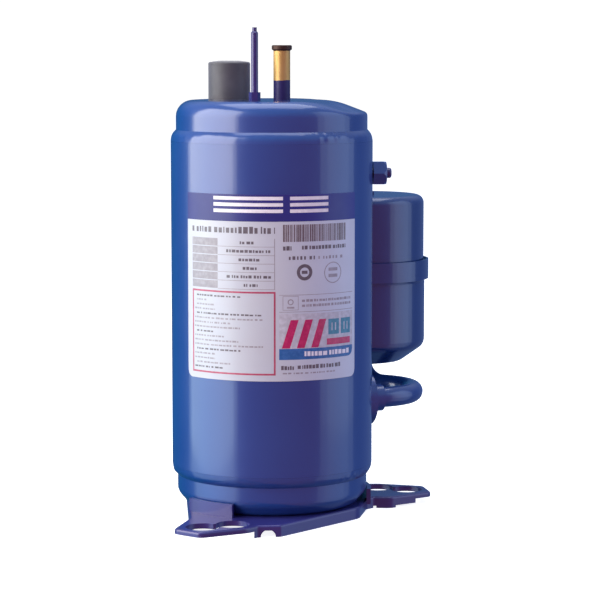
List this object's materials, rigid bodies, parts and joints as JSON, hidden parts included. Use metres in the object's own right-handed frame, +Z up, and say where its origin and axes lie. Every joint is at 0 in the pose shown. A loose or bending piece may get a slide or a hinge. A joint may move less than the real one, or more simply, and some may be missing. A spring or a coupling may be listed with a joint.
{
  "type": "refrigeration rotary compressor",
  "caption": "Upright hermetic rotary compressor with a strapped-on suction accumulator, a footed base plate, a capped terminal and a discharge tube.",
  "frame": {"origin": "where the casing's axis meets the surface that the base plate stands on", "axes": "+Z up along the casing's axis, +Y away from the label, +X to the right when the label is faced"},
  "size_m": [0.1555, 0.2299, 0.283],
  "materials": {
    "blue_paint": "high gloss enamel",
    "weld_paint": "gloss enamel over weld",
    "copper": "drawn copper, lightly oxidised",
    "rubber_grey": "matte moulded rubber",
    "zinc_steel": "zinc plated",
    "machined_steel": "ground",
    "cast_iron": "machined casting",
    "sintered_iron": "sintered and ground",
    "spring_steel": "polished strip",
    "electrical_steel": "stacked laminations",
    "winding_copper": "varnished magnet wire",
    "aluminium": "die cast",
    "brass": "pressed",
    "glass_seal": "fused glass",
    "nylon_black": "moulded",
    "lead_insulation": "sleeved lead",
    "label_film": "printed polyester film",
    "label_tint": "tinted polyester film"
  },
  "bodies": {
    "housing": {"shell_body": "blue_paint", "upper_cap": "blue_paint", "lower_cap": "blue_paint", "upper_weld_bead": "weld_paint", "lower_weld_bead": "weld_paint", "base_plate": "blue_paint", "terminal_body": "zinc_steel", "terminal_glass": "glass_seal", "terminal_pins": "zinc_steel", "terminal_connector": "nylon_black", "lead_wires": "lead_insulation", "cover_stud": "blue_paint", "discharge_tube": "copper", "side_nut": "blue_paint", "side_stud": "blue_paint", "accumulator_upper_shell": "blue_paint", "accumulator_lower_shell": "blue_paint", "accumulator_inlet": "copper", "accumulator_screen": "zinc_steel", "accumulator_standpipe": "zinc_steel", "accumulator_strap": "blue_paint", "strap_screw": "blue_paint", "accumulator_saddle": "blue_paint", "suction_pipe": "blue_paint", "suction_socket": "blue_paint", "suction_boss": "blue_paint", "label_sheet": "label_film", "label_band": "label_tint", "cylinder_block": "cast_iron", "vane_spring": "spring_steel", "reed_stop": "zinc_steel", "reed_rivet": "machined_steel", "main_bearing": "sintered_iron", "sub_bearing": "sintered_iron", "muffler": "zinc_steel", "pump_bolts": "machined_steel", "stator_core": "electrical_steel", "stator_winding": "winding_copper"},
    "crank": {"crankshaft": "machined_steel", "rotor_core": "electrical_steel", "rotor_cage": "aluminium", "upper_balance_weight": "brass", "lower_balance_weight": "brass", "oil_separator": "zinc_steel", "oil_paddle": "spring_steel"},
    "roller": {"roller": "machined_steel"},
    "vane": {"vane": "machined_steel"},
    "reed": {"discharge_reed": "spring_steel"},
    "terminal_cap": {"terminal_cap": "rubber_grey"}
  },
  "joints": [
    {"name": "crank_spin", "type": "hinge", "parent": "housing", "child": "crank", "pos_m": [0, 0, 0.064], "axis": [0, 0, -1], "continuous": true},
    {"name": "roller_roll", "type": "hinge", "parent": "crank", "child": "roller", "pos_m": [0.0027, 0.00322, 0.064], "axis": [0, 0, -1], "continuous": true},
    {"name": "vane_slide", "type": "slide", "parent": "housing", "child": "vane", "axis": [0.6428, 0.766, 0], "range_m": [0, 0.0084], "stiffness_N_per_m": 300, "springref_m": -0.004, "deforming": ["vane_spring"]},
    {"name": "reed_lift", "type": "hinge", "parent": "housing", "child": "reed", "pos_m": [-0.01987, 0.01507, 0.08505], "axis": [0.2504, -0.9681, 0], "range_deg": [0, 4], "stiffness_Nm_per_rad": 0.05},
    {"name": "terminal_cap_lift", "type": "slide", "parent": "housing", "child": "terminal_cap", "axis": [0, 0, 1], "range_m": [0, 0.035]}
  ],
  "couplings": [
    {"joint": "roller_roll", "follows": "crank_spin", "ratio": -1.1842}
  ]
}
